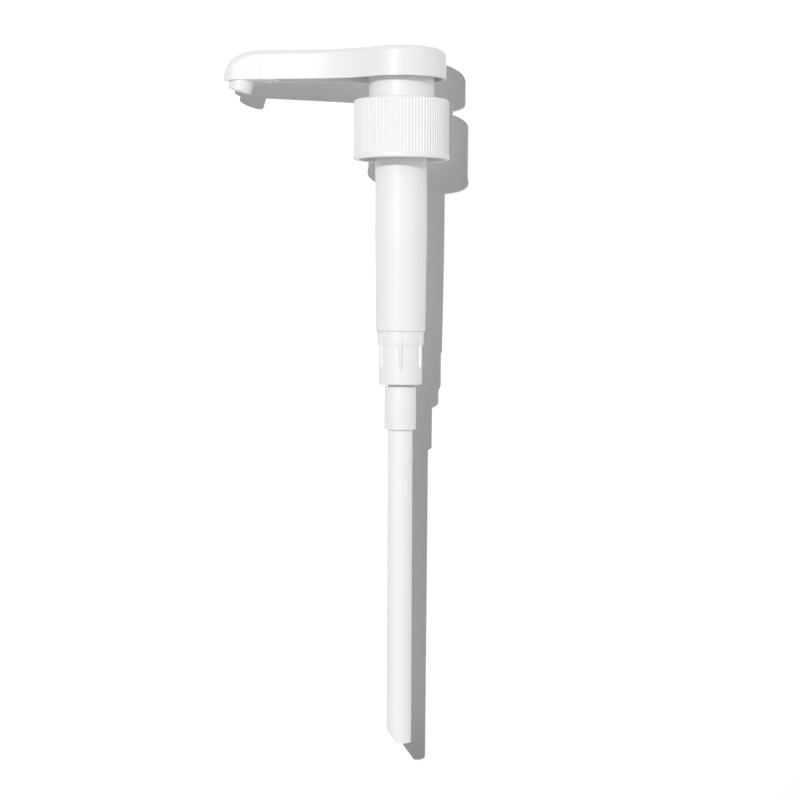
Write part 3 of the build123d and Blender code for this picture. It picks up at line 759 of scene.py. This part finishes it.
# ------------------------------------------------------------------ studio
@dataclass
class Studio:
    """Camera, lights, board and floor. Lengths are metres, angles degrees."""

    azimuth: float = 5.8
    elevation: float = 2.0
    roll: float = 0.26
    distance: float = 0.9915
    lens: float = 98.25  # millimetres, like the sensor
    sensor: float = 36.0
    aim: tuple[float, float, float] = (-0.0001, 0.0, -0.1267)
    board_gap: float = 0.0223  # from the axis to the board, at the closure
    board_lean: float = 1.15
    board_half: float = 1.4
    board_span: tuple[float, float] = (-0.32, 1.2)  # from the origin down and up the board
    board_tone: float = 0.95
    floor: float = -0.36
    floor_half: float = 6.0
    floor_span: tuple[float, float] = (-9.0, 3.0)  # along Y
    floor_tone: float = 0.55
    floor_glow: float = 0.4
    # The key light's place is from the aim to the camera's right, up and back, and so are the directions.
    key_place: tuple[float, float, float] = (-0.504, 0.53, 1.46)
    key_radius: float = 0.023
    key: float = 49.5
    board_key: float = 70.0  # lights only the board and the floor, so that they stay white round the shadow
    to_softbox: tuple[float, float, float] = (0.35, -0.35, 0.87)
    softbox: float = 1.6  # lights only the pump
    to_bounce: tuple[float, float, float] = (0.0, 0.0, -1.0)
    bounce: float = 1.6  # the board's own light on the pump, which the board itself doesn't give
    sky: float = 170.0  # how wide the softbox and the bounce are
    fill: float = 0.26
    backdrop: float = 1.0

    def axes(self) -> tuple[Vector, Vector, Vector]:
        """The camera's right, up and back directions before its roll.

        Returns:
            Three unit vectors.
        """
        a, e = math.radians(self.azimuth), math.radians(self.elevation)
        back = Vector((math.sin(a) * math.cos(e), -math.cos(a) * math.cos(e), math.sin(e)))
        right = Vector((math.cos(a), math.sin(a), 0.0))
        return right, back.cross(right), back

    def camera(self) -> None:
        """Makes the scene's camera."""
        right, up, back = self.axes()
        data = bpy.data.cameras.new("camera")
        data.lens = self.lens
        data.sensor_width = self.sensor
        data.clip_start, data.clip_end = 0.01, 50.0
        camera = bpy.data.objects.new("camera", data)
        turn = Matrix((right, up, back)).transposed() @ Matrix.Rotation(math.radians(self.roll), 3, "Z")
        camera.matrix_world = Matrix.Translation(Vector(self.aim) + back * self.distance) @ turn.to_4x4()
        bpy.context.scene.collection.objects.link(camera)
        bpy.context.scene.camera = camera

    def towards(self, place: tuple[float, float, float]) -> Vector:
        """Turns a place given as the camera's right, up and back into the frame's axes."""
        return sum((axis * share for axis, share in zip(self.axes(), place)), Vector())

    def lamp(self, name: str, power: float) -> bpy.types.Object:
        """Adds a small lamp where the key light stands.

        Args:
            name: the lamp's name.
            power: its power in watts.

        Returns:
            The lamp.
        """
        data = bpy.data.lights.new(name, "POINT")
        data.energy = power
        data.shadow_soft_size = self.key_radius
        lamp = bpy.data.objects.new(name, data)
        lamp.location = Vector(self.aim) + self.towards(self.key_place)
        bpy.context.scene.collection.objects.link(lamp)
        return lamp

    def glow(
        self, name: str, direction: tuple[float, float, float], strength: float
    ) -> bpy.types.Object:
        """Adds the even light of half a sky.

        Args:
            name: the light's name.
            direction: where the middle of the half sky is, as the camera's right, up and back.
            strength: its strength.

        Returns:
            The light.
        """
        data = bpy.data.lights.new(name, "SUN")
        data.energy = strength
        data.angle = math.radians(self.sky)
        light = bpy.data.objects.new(name, data)
        turn = self.towards(direction).normalized().to_track_quat("Z", "Y")
        light.matrix_world = turn.to_matrix().to_4x4()
        bpy.context.scene.collection.objects.link(light)
        return light

    def lights(self, papers: list[bpy.types.Object]) -> None:
        """Adds the key light and its twin for the papers, two soft lights for the pump, and the even fill.

        Args:
            papers: the board and the floor.
        """
        self.lamp("key", self.key)
        board_key = self.lamp("board_key", self.board_key)
        softbox = self.glow("softbox", self.to_softbox, self.softbox)
        bounce = self.glow("bounce", self.to_bounce, self.bounce)
        for light, state in ((board_key, "INCLUDE"), (softbox, "EXCLUDE"), (bounce, "EXCLUDE")):
            group = bpy.data.collections.new(light.name + "_papers")
            for paper in papers:
                group.objects.link(paper)
            light.light_linking.receiver_collection = group
            for entry in group.collection_objects:
                entry.light_linking.link_state = state
        self.world()

    def world(self) -> None:
        """Makes a world that fills the shadows softly and looks white to the camera."""
        world = bpy.data.worlds.new("studio")
        world.use_nodes = True
        nodes, links = world.node_tree.nodes, world.node_tree.links
        nodes.clear()
        fill, seen = nodes.new("ShaderNodeBackground"), nodes.new("ShaderNodeBackground")
        fill.inputs["Color"].default_value = (1.0, 1.0, 1.0, 1.0)
        fill.inputs["Strength"].default_value = self.fill
        seen.inputs["Strength"].default_value = self.backdrop
        path, mix = nodes.new("ShaderNodeLightPath"), nodes.new("ShaderNodeMixShader")
        output = nodes.new("ShaderNodeOutputWorld")
        links.new(path.outputs["Is Camera Ray"], mix.inputs["Fac"])
        links.new(fill.outputs[0], mix.inputs[1])
        links.new(seen.outputs[0], mix.inputs[2])
        links.new(mix.outputs[0], output.inputs["Surface"])
        bpy.context.scene.world = world

    @staticmethod
    def paper(name: str, one_sided: bool, tone: float, glow: float = 0.0) -> bpy.types.Material:
        """Matt paper for the board and the floor.

        Args:
            name: the material's name.
            one_sided: whether the paper is clear from behind, so that the board never hides the pump.
            tone: the paper's grey.
            glow: strength of the even light that the paper gives off.

        Returns:
            The material.
        """
        material = bpy.data.materials.new(name)
        material.use_nodes = True
        nodes, links = material.node_tree.nodes, material.node_tree.links
        shader = nodes["Principled BSDF"]
        shader.inputs["Base Color"].default_value = (tone, tone, tone, 1.0)
        shader.inputs["Emission Color"].default_value = (1.0, 1.0, 1.0, 1.0)
        shader.inputs["Emission Strength"].default_value = glow
        material.cycles.emission_sampling = "NONE"
        shader.inputs["Roughness"].default_value = 0.9
        shader.inputs["Specular IOR Level"].default_value = 0.0
        if one_sided:
            side, clear = nodes.new("ShaderNodeNewGeometry"), nodes.new("ShaderNodeBsdfTransparent")
            mix = nodes.new("ShaderNodeMixShader")
            links.new(side.outputs["Backfacing"], mix.inputs["Fac"])
            links.new(shader.outputs[0], mix.inputs[1])
            links.new(clear.outputs[0], mix.inputs[2])
            links.new(mix.outputs[0], nodes["Material Output"].inputs["Surface"])
        return material

    @staticmethod
    def sheet(name: str, corners: list[Vector], material: bpy.types.Material) -> bpy.types.Object:
        """Adds a flat four-cornered piece of the stage.

        Args:
            name: the object's name.
            corners: its four corners, anticlockwise as seen from its front.
            material: its paper.

        Returns:
            The stage piece.
        """
        mesh = bpy.data.meshes.new(name)
        mesh.from_pydata([tuple(c) for c in corners], [], [(0, 1, 2, 3)])
        mesh.materials.append(material)
        piece = bpy.data.objects.new(name, mesh)
        bpy.context.scene.collection.objects.link(piece)
        return piece

    def build(self) -> None:
        """Makes the board that the pump leans on, the floor, the lights and the camera."""
        right, up, back = self.axes()
        lean = Matrix.Rotation(math.radians(self.board_lean), 3, right)
        board_up = lean @ up
        middle = -back * self.board_gap
        half, (low, high) = self.board_half, self.board_span
        corners = [
            middle + right * x + board_up * y
            for x, y in ((-half, low), (half, low), (half, high), (-half, high))
        ]
        board = self.sheet("board", corners, self.paper("board_paper", True, self.board_tone))
        board.visible_shadow = False
        board.visible_diffuse = False
        half, (low, high) = self.floor_half, self.floor_span
        corners = [
            Vector((x, y, self.floor)) for x, y in ((-half, low), (half, low), (half, high), (-half, high))
        ]
        paper = self.paper("floor_paper", False, self.floor_tone, self.floor_glow)
        ground = self.sheet("floor", corners, paper)
        ground.visible_diffuse = False
        self.lights([board, ground])
        self.camera()
        settings = bpy.context.scene.view_settings
        settings.view_transform = "Standard"
        settings.look = "None"
        LOG.info("made the studio")


def main() -> None:
    """Builds the studio and every sub-assembly in order."""
    logging.basicConfig(level=logging.INFO, format="%(name)s: %(message)s")
    Studio().build()
    wardrobe = Wardrobe()
    CarriedPieces().dress(wardrobe)
    SpoutSeam().dress(wardrobe)
    Closure().dress(wardrobe)
    ValveHousing().dress(wardrobe)
    Suction().dress(wardrobe)
    ReturnSpring().dress(wardrobe)


if __name__ == "__main__":
    main()
